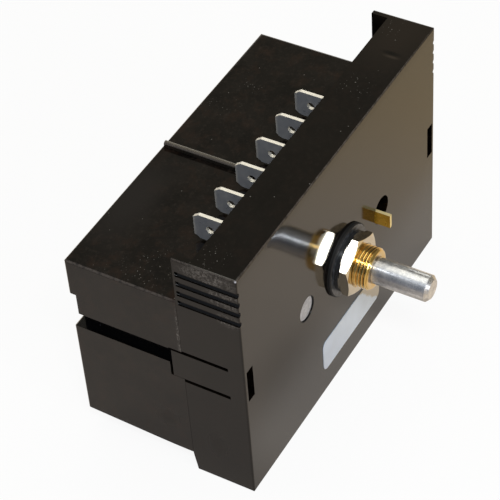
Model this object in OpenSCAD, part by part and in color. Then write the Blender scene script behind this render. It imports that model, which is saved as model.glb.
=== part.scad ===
// Electronic oven thermostat with a potentiometer shaft, six tab terminals and a relay inside.
// Millimetres. Origin: shaft axis at the front face. X runs along the long side, +Y to the rear, +Z up.

/* [Front housing] */
// Length of the front plate
cover_w = 86; // [78:1:104]
// Height of the front plate
cover_h = 63; // [60:1:76]
// Shaft axis to the near end of the plate
shaft_inset = 43; // [40:1:46]
// Shaft axis below the top edge
shaft_drop = 32; // [31:0.5:36]
// Thickness of the front plate
plate_t = 2; // [1.6:0.1:2.4]
// Thickness of the top and bottom walls
hood_t = 1.5; // [1.2:0.1:2]
// Depth of the top and bottom walls
hood_d = 10.6; // [9.6:0.1:12.8]
// Thickness of the end walls
end_t = 1.4; // [1.2:0.1:1.8]
// Depth of the end walls beyond the top and bottom walls
end_more = 3.9; // [3.4:0.1:6]
// Rear lower corner of the end walls: how far it slants back
end_slant = 1; // [0:0.5:2]
// Radius of the outer edges
cover_edge_r = 0.4; // [0.2:0.1:0.8]

/* [Grip grooves] */
// Number of grooves on each end
groove_n = 4; // [2:1:6]
// Top edge to the first groove
groove_first = 4; // [3:0.5:5]
// Distance from groove to groove
groove_pitch = 2.65; // [2:0.05:3]
// Radius of the half-round grooves
groove_r = 0.7; // [0.4:0.1:0.9]

/* [Snap tongues] */
// Height of the tongue's centre above the shaft axis
snap_z = 1.2; // [-1:0.1:3]
// Height of the tongue, from slit to slit
snap_h = 8.3; // [6:0.1:10]
// Width of the slits beside the tongue
slit_w = 0.9; // [0.5:0.1:1.2]
// Where the slits start behind the front face
slit_start = 3.75; // [3:0.25:6]
// How far the near tongue reaches behind its end wall
tongue_out = 2.9; // [2:0.1:4]
// How far the hook reaches inwards
hook_in = 0.9; // [0.6:0.1:1]
// Length of the hook's ramp
hook_len = 2.4; // [2:0.1:3]
// Width of the mould window in the front plate
window_w = 2.4; // [2:0.1:3]
// Height of the mould window
window_h = 8.6; // [6:0.1:10]
// End of the plate to the window
window_inset = 0.9; // [0.6:0.1:1.2]

/* [Rear housing] */
// Depth of the whole case behind the front face
case_d = 41; // [34:1:50]
// Top edge of the front plate to the top of the rear box
box_drop = 11.9; // [11.9:0.1:14.4]
// Rise of the rear box above the bottom edge of the front plate
box_rise = 5; // [4:0.5:6]
// Rise of the box floor from front to back, for the mould
box_draft = 1.5; // [0:0.5:2]
// Flange inside the rear edge of the top and bottom walls
flange_in = 0.2; // [0:0.1:0.6]
// Inset of the far side of the box from the far end
box_inset = 4.7; // [4:0.1:6]
// Wall of the rear box
box_wall = 1.8; // [1.5:0.1:2.2]
// Flange that closes the front housing
flange_t = 1.5; // [1.2:0.1:2]
// Radius of the box edges
box_edge_r = 0.6; // [0.3:0.1:1]
// Depth of the belt groove round the box
belt_depth = 1.7; // [1:0.1:2]
// Lower edge of the belt groove above the shaft axis
belt_z = 1.15; // [0:0.05:3]
// Height of the belt groove on the sides
belt_side_h = 4.05; // [3:0.05:5]
// Height of the belt groove on the back
belt_back_h = 9.5; // [8:0.1:11]
// Width of the rib between the terminals
rib_w = 1.2; // [0.8:0.1:2]
// Height of the rib
rib_h = 1.4; // [1:0.1:2]

/* [Tab terminals] */
// Distance from tab to tab
tab_pitch = 8.5; // [7:0.1:10.2]
// Offset of the row's middle from the shaft axis
tab_row_x = -4.25; // [-6:0.25:0]
// Width of a tab
tab_w = 6.35; // [4.8:0.05:7.7]
// Thickness of a tab
tab_t = 0.8; // [0.5:0.05:1]
// Tip of the tabs behind the front face
tab_tip_y = 20.2; // [18:0.1:22]
// Hole in the tab
tab_hole_d = 1.8; // [1.2:0.1:2]
// Tip to the hole
tab_hole_in = 3.8; // [3:0.1:5]
// Gap between the tab and the top of the rear box
tab_gap = 0.63; // [0.5:0.01:1.5]

/* [Shaft and bushing] */
// Diameter of the control shaft
shaft_d = 6; // [5:0.05:6.35]
// Length of the shaft in front of the face
shaft_out = 20.5; // [16:0.5:30]
// Step from the shaft down to its journal in the bushing
journal_step = 0.25; // [0.2:0.05:0.4]
// Chamfer at the shaft's tip
shaft_chamfer = 0.75; // [0.3:0.05:1]
// Outer diameter of the threaded bushing
bushing_d = 9.525; // [8:0.005:11.5]
// Depth of the thread, from its crests to mid-thread
thread_half = 0.26; // [0.2:0.01:0.3]
// Length of the bushing in front of the face
bushing_out = 7.4; // [6.5:0.1:10]
// Play between bushing and housing, across
bushing_play = 0.3; // [0.2:0.1:0.5]
// Nut across its flats
nut_flats = 12.7; // [12:0.1:14.3]
// Thickness of the nut
nut_t = 2.2; // [1.8:0.1:2.6]
// Turn of the nut about the shaft
nut_turn = 35.6; // [0:0.1:60]
// Diameter of the panel washer
washer_d = 16.8; // [15:0.1:20]
// Thickness of the panel washer
washer_t = 0.85; // [0.6:0.05:1.2]
// Width of the lock washer, teeth included
lock_w = 2; // [1.4:0.1:2.4]
// Thickness of the lock washer
lock_t = 0.9; // [0.6:0.05:1]

/* [Locating lug] */
// Face of the lug nearest the shaft
lug_x = 14.3; // [13.5:0.1:16]
// Width of the lug
lug_w = 3.5; // [2.5:0.1:4.2]
// Thickness of the lug and its plate
lug_t = 0.8; // [0.6:0.1:1]
// Reach of the lug in front of the face
lug_out = 3.4; // [2:0.1:5]
// Least gap between the lug and the round hole it comes through
lug_hole_gap = 0.15; // [0.1:0.05:0.4]
// Centre of that hole beyond the lug's face
lug_hole_dx = 2.45; // [1.5:0.05:2.5]
// Centre of that hole above the shaft axis
lug_hole_z = 0.3; // [-0.6:0.05:0.6]

/* [Calibration] */
// Centre of the calibration hole beyond the potentiometer can, towards the near end
cal_out = 6.2; // [5.6:0.1:7.6]
// Calibration hole above the shaft axis
cal_z = 0.7; // [-2:0.1:2]
// Diameter of the calibration hole
cal_d = 6; // [5:0.1:7]
// Depth of the plug below the front face
plug_depth = 0.35; // [0.1:0.05:0.6]

/* [Label] */
// Length of the label
label_w = 26.4; // [20:0.1:30]
// Height of the label
label_h = 8.6; // [6:0.1:10]
// Near end of the label from the shaft axis
label_x = -11.5; // [-14:0.1:-8]
// Lower edge of the label from the shaft axis
label_z = -24.5; // [-26:0.1:-22]
// Corner radius of the label
label_r = 1.8; // [0.5:0.1:3]
// Thickness of the label
label_t = 0.12; // [0.05:0.01:0.2]

/* [Inner parts] */
// Thickness of the circuit board
board_t = 1.6; // [1:0.1:2]
// Diameter of the potentiometer can
can_d = 22; // [18:0.5:24]
// Depth of the can behind the board
can_back = 2.8; // [2.2:0.1:4]
// Wall of the can
can_t = 0.5; // [0.4:0.05:0.7]
// Diameter of the reservoir capacitor
cap_d = 10; // [8:0.5:12]
// Height of the reservoir capacitor
cap_h = 16; // [12:0.5:20]

/* [Hidden] */
$fn = 64;
EPS = 0.01;

// Outline of the front housing
cx0 = -shaft_inset;
cx1 = cx0 + cover_w;
cz1 = shaft_drop;
cz0 = cz1 - cover_h;

// End walls, flange and circuit board, counted from the rear edge of the top wall
lay_gap = 0.1;
end_d = hood_d + end_more;
flange_y1 = hood_d - flange_in;
flange_y = flange_y1 - flange_t;
board_y1 = flange_y - lay_gap;
board_y = board_y1 - board_t;
fit_gap = 0.2;
board_edge_gap = 0.8;

// Outline of the rear box
bx0 = cx0;
bx1 = cx1 - box_inset;
bz1 = cz1 - box_drop;
bz0 = cz0 + box_rise;
flange_x0 = cx0 + end_t + fit_gap;
flange_x1 = cx1 - end_t - fit_gap;
step_y = end_d + 0.05;
hook_pocket_gap = 0.2;
near_wall_x = flange_x0 + hook_in + hook_pocket_gap + 1.1;
belt_skin = belt_depth + box_wall - 0.2;
room_z0 = bz0 + box_draft + box_wall;
room_z1 = bz1 - box_wall;
room_x1 = bx1 - box_wall;

// Near tongue, which ends at the belt groove and lies in a recess of the rear box
tip_gap = 0.3;
tongue_y1 = end_d + tongue_out;
belt_start = tongue_y1 + tip_gap;
tongue_z0 = snap_z - (snap_h - slit_w) / 2;
tongue_z1 = snap_z + (snap_h - slit_w) / 2;
recess_top_gap = 0.6;

// Posts that carry the board
post_r = 2.5;
post_pin_r = 1.4;
post_pin_play = 0.1;
post_in = 8;
post_edge = 6;
posts = [for (x = [cx0 + post_in, cx1 - post_in], z = [cz0 + post_edge, cz1 - post_edge]) [x, z]];

// Tabs
tab_n = 6;
tab_z = bz1 + tab_gap + tab_w / 2;
tab_leg = 1.2;
tab_leg_gap = 2.4;
tab_bevel = 0.9;
tab_bevel_y = 1.3;
slot_play = 0.2;
leg_play = 0.15;
leg_out = 0.9;
function tab_x(i) = tab_row_x + (i - (tab_n + 1) / 2) * tab_pitch;

// Potentiometer, counted from the front face to the rear
shaft_r = shaft_d / 2;
journal_r = shaft_r - journal_step;
bore_r = journal_r + 0.04;
stake_r = bushing_d / 2 - 0.4;
pitch_r = bushing_d / 2 - thread_half;
nut_y1 = -washer_t - lock_t;
nut_y = nut_y1 - nut_t;
plate_y1 = plate_t + lug_t;
collar_t = 0.7;
collar_y1 = plate_y1 + collar_t;
ring_play = 0.1;
ring_t = 0.6;
ring_groove = 0.5;
root_r = journal_r - ring_groove;
rotor_y = collar_y1 + ring_play + ring_t + 0.1;
rotor_t = 1.3;
rotor_y1 = rotor_y + rotor_t;
spigot_r = journal_r - 0.75;
wafer_t = 1;
track_t = 0.1;
wafer_y = board_y1 - wafer_t;
track_y = wafer_y - track_t;
wiper_t = 0.3;
wiper_gap = 0.05;
can_r = can_d / 2;
can_in = can_r - can_t;
can_y1 = board_y1 + can_back;
cutout_r = can_r + 0.5;
rotor_r = can_in - 2;
finger_w = 1.6;
stop_deg = 28;
track_r1 = can_in - 1.7;
track_r0 = track_r1 - 2.2;
track_gap_deg = 60;
terminal_w = 1.6;
terminal_t = 0.4;
terminal_down = cutout_r + 1.4;
terminal_deg = 20;

// Hole round the lug, which clears its farthest corner
lug_hole_r = norm([lug_hole_dx, lug_w / 2 + abs(lug_hole_z)]) + lug_hole_gap;

// Calibration trimmer
cal_x = can_r + cal_out;
trim_w = 9.5;
trim_y = 3.9;
trim_rotor_r = 2.8;
trim_slot = 0.9;

// Small leads
lead_r = 0.35;
lead_hole_r = 0.5;
lead_out = 0.9;

// Transformer, as large as the room between the can, the far side and the back allows
core_y = board_y1 + 0.8;
core_limb = min(5, (case_d - belt_skin - 3.1 - core_y) / 5);
core_w = 6 * core_limb;
core_h = 5 * core_limb;
core_z = (room_z0 + room_z1) / 2 + 0.7;
bobbin_x1 = bx1 - belt_skin - 0.9;
bobbin_side = 3.1;
core_stack = min(15, bobbin_x1 - can_r - 1.9 - 2 * bobbin_side);
bobbin_reach = core_stack / 2 + bobbin_side;
core_mid_x = bobbin_x1 - bobbin_reach;
core_x = core_mid_x - core_stack / 2;
bobbin_t = 0.8;
bobbin_foot = 3;
foot_z = 2 * core_limb - 2.4;
winding_in = 0.3;
winding_gap = 0.1;
core_play = 0.2;

// Rectifier diodes under the top of the box, one below the other
diode_span = 5;
diode_r = 1.3;
diode_pitch = 3.2;
diodes_at = [for (i = [0:3]) [near_wall_x + 7.7, room_z1 - 1 - diode_r - diode_pitch * i]];
diode_floor = diodes_at[3][1] - diode_r;

// Varistor beside the diodes, on edge
varistor_r = 4.2;
varistor_t = 3.6;
varistor_at = [diodes_at[0][0] + diode_span + 4.5, room_z1 - 1.7 - varistor_r];

// Relay, its long side along Z
relay_w = 15.4;
relay_l = 20;
relay_x = near_wall_x + 1 + relay_w / 2;
relay_z = (room_z0 + diode_floor) / 2 + 1.3;
relay_h = 16.2;
relay_t = 0.8;
relay_base_t = 1.5;
frame_w = 8;
coil_dz = 2.3;
coil_r = 4.3;
coil_core_r = 2.05;
pole_r = 3.2;
pole_y = 13;
coil_bobbin_y = 3;
coil_bobbin_y1 = 12;
coil_flange_t = 0.65;
coil_tube_r = 2.7;
air_gap = 0.5;
armature_t = 1;
yoke_t = 1.2;
yoke_z = relay_z + coil_dz + coil_r + 0.6;
hinge_z = yoke_z + yoke_t;
spring_t = 0.2;
relay_floor = board_y1 + relay_base_t;
blade_t = 0.25;
contact_dz = -6.8;
contact_r = 1.3;
contact_t = 0.5;
contact_travel = 0.6;

// Where the leads go through the board, as [x, z]
transformer_pins_at = [for (sx = [-1, 1], sz = [-1, 0, 1])
    [core_mid_x + sx * (bobbin_reach - bobbin_foot / 2), core_z + sz * foot_z]];
relay_pins_at = [
    [relay_x - 5, relay_z + 7.6], [relay_x + 5, relay_z + 7.6],
    [relay_x - 3, relay_z - 8], [relay_x + 3, relay_z - 8]
];
cap_at = [varistor_at[0] + 8, room_z1 - 0.7 - cap_d / 2];
cap_pins_at = [for (s = [-1, 1]) [cap_at[0] + 2.5 * s, cap_at[1]]];
film_w = 13;
film_d = 5;
film_h = 11;
film_at = [-1.5, room_z0 + 0.5 + film_d / 2];
film_pins_at = [for (s = [-1, 1]) [film_at[0] + 5 * s, film_at[1]]];
chip_at = [10.7, room_z0 + 3.9];
chip_l = 9.6;
chip_w = 5.4;
chip_pitch = 2.54;
chip_row = 3.1;
chip_pins_at = [for (i = [-1.5, -0.5, 0.5, 1.5], s = [-1, 1])
    [chip_at[0] + i * chip_pitch, chip_at[1] + s * chip_row]];
diode_pins_at = [for (d = diodes_at, s = [-1, 1]) [d[0] + s * diode_span, d[1]]];
resistor_span = 4.4;
resistors_at = [for (i = [0:2]) [-14, room_z0 + 8.3 - 3.2 * i]];
resistor_pins_at = [for (d = resistors_at, s = [-1, 1]) [d[0] + s * resistor_span, d[1]]];
varistor_pins_at = [for (s = [-1, 1]) [varistor_at[0], varistor_at[1] + 2.5 * s]];
trimmer_pins_at = [[-cal_x - 2, cal_z - 3.2], [-cal_x + 2, cal_z - 3.2], [-cal_x, cal_z + 3.2]];
leads_at = concat(
    transformer_pins_at, relay_pins_at, cap_pins_at, film_pins_at, chip_pins_at,
    diode_pins_at, resistor_pins_at, varistor_pins_at, trimmer_pins_at
);

// Colours, as the photo shows them
CASE = [0.11, 0.085, 0.07];
BRASS = [0.76, 0.6, 0.28];
STEEL = [0.72, 0.72, 0.7];
TIN = [0.62, 0.62, 0.6];
DARK = [0.07, 0.07, 0.07];
GREY = [0.72, 0.72, 0.7];
COPPER = [0.7, 0.36, 0.2];
BOARD = [0.13, 0.32, 0.16];
BAKELITE = [0.36, 0.2, 0.1];

// A plate drawn in X and Z, from y0 to y1
module slab(y0, y1) {
    translate([0, y1, 0])
        rotate([90, 0, 0])
            linear_extrude(y1 - y0)
                children();
}

// A bar drawn in Y and Z, from x0 to x1
module bar(x0, x1) {
    translate([x0, 0, 0])
        rotate([90, 0, 90])
            linear_extrude(x1 - x0)
                children();
}

// A column drawn in X and Y, from z0 to z1
module column(z0, z1) {
    translate([0, 0, z0])
        linear_extrude(z1 - z0)
            children();
}

// A block between two corners
module block(lo, hi) {
    translate(lo)
        cube(hi - lo);
}

// A round rod along Y
module rod(at, r, y0, y1) {
    translate([at[0], y0, at[1]])
        rotate([-90, 0, 0])
            cylinder(r = r, h = y1 - y0);
}

// A shape turned about a line along Y, drawn as radius and Y
module turned(at) {
    translate([at[0], 0, at[1]])
        rotate([-90, 0, 0])
            rotate_extrude()
                children();
}

// A rectangle with round corners
module round_rect(lo, hi, r) {
    translate([lo[0] + r, lo[1]])
        square([hi[0] - lo[0] - 2 * r, hi[1] - lo[1]]);
    translate([lo[0], lo[1] + r])
        square([hi[0] - lo[0], hi[1] - lo[1] - 2 * r]);
    for (x = [lo[0] + r, hi[0] - r], y = [lo[1] + r, hi[1] - r])
        translate([x, y])
            circle(r);
}

// A block with all edges rounded
module round_block(lo, hi, r) {
    intersection() {
        slab(lo[1], hi[1])
            round_rect([lo[0], lo[2]], [hi[0], hi[2]], r);
        bar(lo[0], hi[0])
            round_rect([lo[1], lo[2]], [hi[1], hi[2]], r);
        column(lo[2], hi[2])
            round_rect([lo[0], lo[1]], [hi[0], hi[1]], r);
    }
}

// Leads from a component down through the board
module leads(points, y1) {
    for (p = points)
        rod(p, lead_r, board_y - lead_out, y1);
}

// Shell of the front housing, open to the rear, with sharp rear edges
module cover_shell() {
    difference() {
        round_block([cx0, 0, cz0], [cx1, end_d + 1, cz1], cover_edge_r);
        block([cx0 - 1, end_d, cz0 - 1], [cx1 + 1, end_d + 2, cz1 + 1]);
        block([cx0 + end_t, plate_t, cz0 + hood_t], [cx1 - end_t, end_d + 1, cz1 - hood_t]);
        for (z = [cz0 - 1, cz1 - hood_t - EPS])
            block([cx0 + end_t, hood_d, z], [cx1 - end_t, end_d + 1, z + hood_t + 1 + EPS]);
        bar(cx0 - 1, cx1 + 1)
            polygon([[end_d, bz0], [end_d + 1, bz0], [end_d + 1, cz0 - 1], [end_d - end_slant, cz0 - 1]]);
    }
}

// Hook on the inner face of the near tongue
module hook() {
    inner = cx0 + end_t;
    y0 = flange_y1 + lay_gap;
    column(tongue_z0, tongue_z1)
        polygon([
            [inner - EPS, y0], [inner + hook_in, y0], [inner + hook_in, y0 + hook_len / 3],
            [inner - EPS, y0 + hook_len]
        ]);
}

// End of the near tongue, behind the end wall, with a bevelled outer edge
module tongue_tip() {
    bevel = 0.3;
    column(tongue_z0, tongue_z1)
        polygon([
            [cx0, end_d - EPS], [cx0 + end_t, end_d - EPS], [cx0 + end_t, tongue_y1],
            [cx0 + bevel, tongue_y1], [cx0, tongue_y1 - bevel]
        ]);
}

// Cuts that free the near tongue, and its mould window
module tongue_cuts() {
    for (s = [-1, 1])
        block(
            [cx0 - 1, slit_start, snap_z + s * snap_h / 2 - slit_w / 2],
            [cx0 + end_t + 1, end_d + 1, snap_z + s * snap_h / 2 + slit_w / 2]
        );
    block(
        [cx0 + window_inset, -1, snap_z - window_h / 2],
        [cx0 + window_inset + window_w, plate_t + EPS, snap_z + window_h / 2]
    );
}

// Grip grooves on the near end, open at the front face
module grip_grooves() {
    stop = end_d - 0.5;
    for (i = [0 : groove_n - 1])
        rod([cx0, cz1 - groove_first - i * groove_pitch], groove_r, -1, stop);
}

// Both ends get the same feature
module both_ends() {
    children();
    translate([cx0 + cx1, 0, 0])
        mirror([1, 0, 0])
            children();
}

module front_housing() {
    color(CASE)
        difference() {
            union() {
                cover_shell();
                both_ends()
                    hook();
                tongue_tip();
                for (p = posts) {
                    rod(p, post_r, plate_t - EPS, board_y);
                    rod(p, post_pin_r, plate_t, board_y1 - lay_gap);
                }
            }
            both_ends() {
                tongue_cuts();
                grip_grooves();
            }
            rod([0, 0], (bushing_d + bushing_play) / 2, -1, plate_t + 1);
            rod([lug_x + lug_hole_dx, lug_hole_z], lug_hole_r, -1, plate_t + 1);
            rod([-cal_x, cal_z], cal_d / 2, -1, plate_t + 1);
        }
}

// Outer form of the rear box with its flange
module box_form() {
    block([flange_x0, flange_y, cz0 + hood_t + fit_gap], [flange_x1, flange_y1, cz1 - hood_t - fit_gap]);
    difference() {
        round_block([bx0, flange_y, bz0], [bx1, case_d, bz1], box_edge_r);
        block([bx0 - 1, flange_y - 1, bz0 - 1], [flange_x0, step_y, bz1 + 1]);
        bar(bx0 - 1, bx1 + 1)
            polygon([
                [flange_y1, bz0], [case_d + 1, bz0 + box_draft], [case_d + 1, bz0 - 1],
                [flange_y1, bz0 - 1]
            ]);
    }
    slab(flange_y1 - EPS, case_d - box_edge_r)
        translate([tab_row_x, bz1]) {
            translate([-rib_w / 2, -EPS])
                square([rib_w, rib_h - rib_w / 2 + EPS]);
            translate([0, rib_h - rib_w / 2])
                circle(rib_w / 2);
        }
}

// Hollow of the rear box, which leaves the belt its wall
module box_hollow() {
    difference() {
        union() {
            block([near_wall_x, flange_y - 1, room_z0], [room_x1, case_d - box_wall, room_z1]);
            block([bx0 + box_wall, step_y + box_wall, room_z0], [room_x1, case_d - box_wall, room_z1]);
        }
        block(
            [bx0, step_y, tongue_z0 - box_wall],
            [bx0 + belt_skin, belt_start + box_wall, tongue_z1 + box_wall]
        );
        for (x = [bx0, bx1 - belt_skin])
            block(
                [x, belt_start - box_wall, belt_z - box_wall],
                [x + belt_skin, case_d, belt_z + belt_side_h + box_wall]
            );
        block(
            [bx0, case_d - belt_skin, belt_z - box_wall],
            [bx1, case_d, belt_z + belt_back_h + box_wall]
        );
    }
}

// Groove along the sides and across the back, with a bevelled lower lip
module belt_groove() {
    lip = 0.4;
    for (x = [bx0 - 1, bx1 - belt_depth])
        block([x, belt_start, belt_z], [x + belt_depth + 1, case_d + 1, belt_z + belt_side_h]);
    bar(bx0 - 1, bx1 + 1)
        polygon([
            [case_d - belt_depth, belt_z], [case_d - lip, belt_z], [case_d + EPS, belt_z - lip],
            [case_d + 1, belt_z - lip], [case_d + 1, belt_z + belt_back_h],
            [case_d - belt_depth, belt_z + belt_back_h]
        ]);
}

module rear_housing() {
    color(CASE)
        difference() {
            box_form();
            box_hollow();
            belt_groove();
            block(
                [flange_x0 - 1, flange_y1, snap_z - snap_h / 2],
                [flange_x0 + hook_in + hook_pocket_gap, step_y + EPS, snap_z + snap_h / 2]
            );
            block(
                [bx0 - 1, step_y - EPS, tongue_z0 - lay_gap],
                [cx0 + end_t + fit_gap, belt_start + EPS, tongue_z1 + recess_top_gap]
            );
            for (i = [1 : tab_n])
                block(
                    [tab_x(i) - tab_t / 2 - slot_play, flange_y - 1, tab_z - tab_w / 2 - slot_play],
                    [tab_x(i) + tab_t / 2 + slot_play, flange_y1 + 1, tab_z + tab_w / 2 + slot_play]
                );
        }
}

module label() {
    color([0.78, 0.78, 0.78])
        slab(-label_t, 0)
            round_rect([label_x, label_z], [label_x + label_w, label_z + label_h], label_r);
}

// Plug that closes the calibration hole, with a lip behind the plate
module calibration_plug() {
    r = cal_d / 2;
    color(GREY)
        turned([-cal_x, cal_z])
            polygon([
                [0, plug_depth], [r - 0.25, plug_depth], [r - 0.05, plug_depth + 0.2],
                [r - 0.05, plate_t + 0.05], [r + 0.2, plate_t + 0.15], [r - 0.3, plate_t + 0.7],
                [0, plate_t + 0.7]
            ]);
}

// Round shaft with a clip groove and a spigot for the rotor
module control_shaft() {
    groove_y = collar_y1 + ring_play;
    shoulder = -bushing_out - 0.1;
    tip = -shaft_out;
    color(STEEL)
        turned([0, 0])
            polygon([
                [0, tip], [shaft_r - shaft_chamfer, tip], [shaft_r, tip + shaft_chamfer],
                [shaft_r, shoulder], [journal_r, shoulder], [journal_r, groove_y],
                [root_r, groove_y], [root_r, groove_y + ring_t], [journal_r, groove_y + ring_t],
                [journal_r, rotor_y], [spigot_r, rotor_y],
                [spigot_r, rotor_y1 + wiper_t], [0, rotor_y1 + wiper_t]
            ]);
}

// Open ring that snaps into the shaft's groove
module retaining_ring() {
    ring_r = shaft_r + 1.3;
    mouth = 2 * root_r - 0.9;
    y0 = collar_y1 + ring_play;
    color(STEEL)
        difference() {
            rod([0, 0], ring_r, y0, y0 + ring_t);
            rod([0, 0], root_r + 0.03, y0 - 1, y0 + ring_t + 1);
            block([-mouth / 2, y0 - 1, -ring_r - 1], [mouth / 2, y0 + ring_t + 1, 0]);
        }
}

// Threaded bushing, staked to the mounting plate; the collar sits behind the plate
module threaded_bushing() {
    r = bushing_d / 2;
    chamfer = 0.7;
    collar_r = r + 1.04;
    color(BRASS)
        turned([0, 0])
            polygon([
                [bore_r, -bushing_out], [r - chamfer, -bushing_out], [r, -bushing_out + chamfer],
                [r, nut_y], [pitch_r, nut_y], [pitch_r, nut_y1], [r, nut_y1],
                [r, plate_t], [stake_r, plate_t], [stake_r, plate_y1],
                [collar_r, plate_y1], [collar_r, collar_y1], [bore_r, collar_y1]
            ]);
}

module hex_nut() {
    corner_r = nut_flats / sqrt(3);
    sink = 0.5;
    bevel = 0.45;
    color(STEEL)
        intersection() {
            difference() {
                slab(nut_y, nut_y1)
                    rotate(nut_turn)
                        circle(corner_r, $fn = 6);
                turned([0, 0])
                    polygon([
                        [0, nut_y - 1], [pitch_r + sink + 1, nut_y - 1], [pitch_r + 0.02, nut_y + sink],
                        [pitch_r + 0.02, nut_y1 - sink], [pitch_r + sink + 1, nut_y1 + 1], [0, nut_y1 + 1]
                    ]);
            }
            turned([0, 0])
                polygon([
                    [0, nut_y], [corner_r - 0.9, nut_y], [corner_r + 0.1, nut_y + bevel],
                    [corner_r + 0.1, nut_y1 - bevel], [corner_r - 0.9, nut_y1], [0, nut_y1]
                ]);
        }
}

// Internal-tooth lock washer under the nut
module lock_washer() {
    teeth = 10;
    tooth_r = bushing_d / 2 + 0.15;
    ring_r = tooth_r + 0.6 * lock_w;
    tooth_w = 1.6;
    color(DARK)
        slab(-washer_t - lock_t, -washer_t)
            union() {
                difference() {
                    circle(tooth_r + lock_w);
                    circle(ring_r);
                }
                for (i = [0 : teeth - 1])
                    rotate(i * 360 / teeth)
                        difference() {
                            translate([tooth_r, -tooth_w / 2])
                                square([ring_r - tooth_r + 0.2, tooth_w]);
                            circle(tooth_r + 0.05);
                        }
            }
}

module panel_washer() {
    r = washer_d / 2;
    edge = 0.25;
    bore = bushing_d / 2 + 0.2;
    color(DARK)
        turned([0, 0])
            polygon([
                [bore, 0], [r, 0], [r, -washer_t + edge], [r - edge, -washer_t], [bore, -washer_t]
            ]);
}

// Brass plate behind the housing with the bent locating lug
module mounting_plate() {
    notch_w = 3;
    color(BRASS)
        difference() {
            union() {
                rod([0, 0], can_r + 0.3, plate_t, plate_y1);
                block([0, plate_t, -lug_w / 2], [lug_x + lug_t, plate_y1, lug_w / 2]);
                block([lug_x, -lug_out, -lug_w / 2], [lug_x + lug_t, plate_y1, lug_w / 2]);
            }
            rod([0, 0], stake_r + 0.02, plate_t - 1, plate_y1 + 1);
            for (a = [45 : 90 : 315])
                rotate([0, a, 0])
                    block(
                        [can_in - 0.1, plate_t - 1, -notch_w / 2],
                        [can_r + 1, plate_y1 + 1, notch_w / 2]
                    );
        }
}

// Pressed can with four ears in the plate's notches, a slot for the terminals and two stops inside
module pot_can() {
    ear_w = 2.8;
    shoulder = 0.9;
    slot = can_in * 2 * sin(terminal_deg) + 3 * terminal_w;
    color(STEEL)
        union() {
            difference() {
                union() {
                    rod([0, 0], can_r, plate_y1, can_y1);
                    for (a = [45 : 90 : 315])
                        rotate([0, a, 0])
                            block(
                                [can_in, plate_t + 0.2, -ear_w / 2],
                                [can_r - 0.05, plate_y1 + EPS, ear_w / 2]
                            );
                }
                rod([0, 0], can_in, plate_y1 - 1, board_y1);
                rod([0, 0], can_in - shoulder, plate_y1, can_y1 - can_t);
                block(
                    [-slot / 2, wafer_y - 0.4, -can_r - 1],
                    [slot / 2, board_y1 + terminal_t + 0.2, -can_in + 3]
                );
            }
            for (s = [-1, 1])
                rotate([0, s * stop_deg, 0])
                    block(
                        [-finger_w / 2, rotor_y, -can_in - can_t / 2],
                        [finger_w / 2, rotor_y1, -rotor_r - 0.2]
                    );
        }
}

// Bakelite disc with the stop finger
module pot_rotor() {
    color(BAKELITE)
        difference() {
            union() {
                rod([0, 0], rotor_r, rotor_y, rotor_y1);
                block([-finger_w / 2, rotor_y, rotor_r - 1], [finger_w / 2, rotor_y1, rotor_r + 1]);
            }
            rod([0, 0], spigot_r + 0.02, rotor_y - 1, rotor_y1 + 1);
        }
}

// Spring ring on the rotor with an arm to the track and one to the middle contact
module wiper() {
    mid = (track_r0 + track_r1) / 2;
    tip = track_y - wiper_gap;
    arm_w = 1.6;
    stud_r = 0.6;
    color(COPPER) {
        difference() {
            union() {
                rod([0, 0], spigot_r + 1.6, rotor_y1, rotor_y1 + wiper_t);
                block([-arm_w / 2, rotor_y1, 0], [arm_w / 2, rotor_y1 + wiper_t, mid + arm_w / 2]);
            }
            rod([0, 0], spigot_r + 0.02, rotor_y1 - 1, rotor_y1 + 1);
        }
        rod([0, mid], stud_r, rotor_y1 + wiper_t / 2, tip);
    }
}

// Insulating wafer that carries the track, seated on the can's shoulder
module element_wafer() {
    color(BAKELITE)
        difference() {
            rod([0, 0], can_in - 0.05, wafer_y, board_y1);
            rod([0, 0], spigot_r + 0.6, wafer_y - 1, board_y1 + 1);
        }
}

// Horseshoe of carbon on the wafer's front face, open at the bottom
module carbon_track() {
    color(DARK)
        slab(track_y, wafer_y)
            difference() {
                circle(track_r1);
                circle(track_r0);
                polygon([
                    [0, 0],
                    [-2 * track_r1 * tan(track_gap_deg / 2), -2 * track_r1],
                    [2 * track_r1 * tan(track_gap_deg / 2), -2 * track_r1]
                ]);
            }
}

// Three flat terminals from the wafer down to the back of the board
module pot_terminals() {
    inner = track_r0 + 0.6;
    color(TIN)
        for (a = [-terminal_deg, 0, terminal_deg])
            rotate([0, a, 0])
                block(
                    [-terminal_w / 2, board_y1, -terminal_down],
                    [terminal_w / 2, board_y1 + terminal_t, -inner]
                );
}

// Board trapped between the posts and the flange
module circuit_board() {
    color(BOARD)
        difference() {
            slab(board_y, board_y1)
                difference() {
                    round_rect(
                        [cx0 + end_t + board_edge_gap, cz0 + hood_t + board_edge_gap],
                        [cx1 - end_t - board_edge_gap, cz1 - hood_t - board_edge_gap], 1
                    );
                    circle(cutout_r);
                    for (p = posts)
                        translate(p)
                            circle(post_pin_r + post_pin_play);
                    for (p = leads_at)
                        translate(p)
                            circle(lead_hole_r, $fn = 24);
                }
            for (i = [1 : tab_n], s = [-1, 1])
                block(
                    [tab_x(i) - tab_t / 2 - leg_play, board_y - 1,
                        tab_z + s * tab_leg_gap / 2 - (s < 0 ? tab_leg : 0) - leg_play],
                    [tab_x(i) + tab_t / 2 + leg_play, board_y1 + 1,
                        tab_z + s * tab_leg_gap / 2 + (s > 0 ? tab_leg : 0) + leg_play]
                );
        }
}

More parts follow.
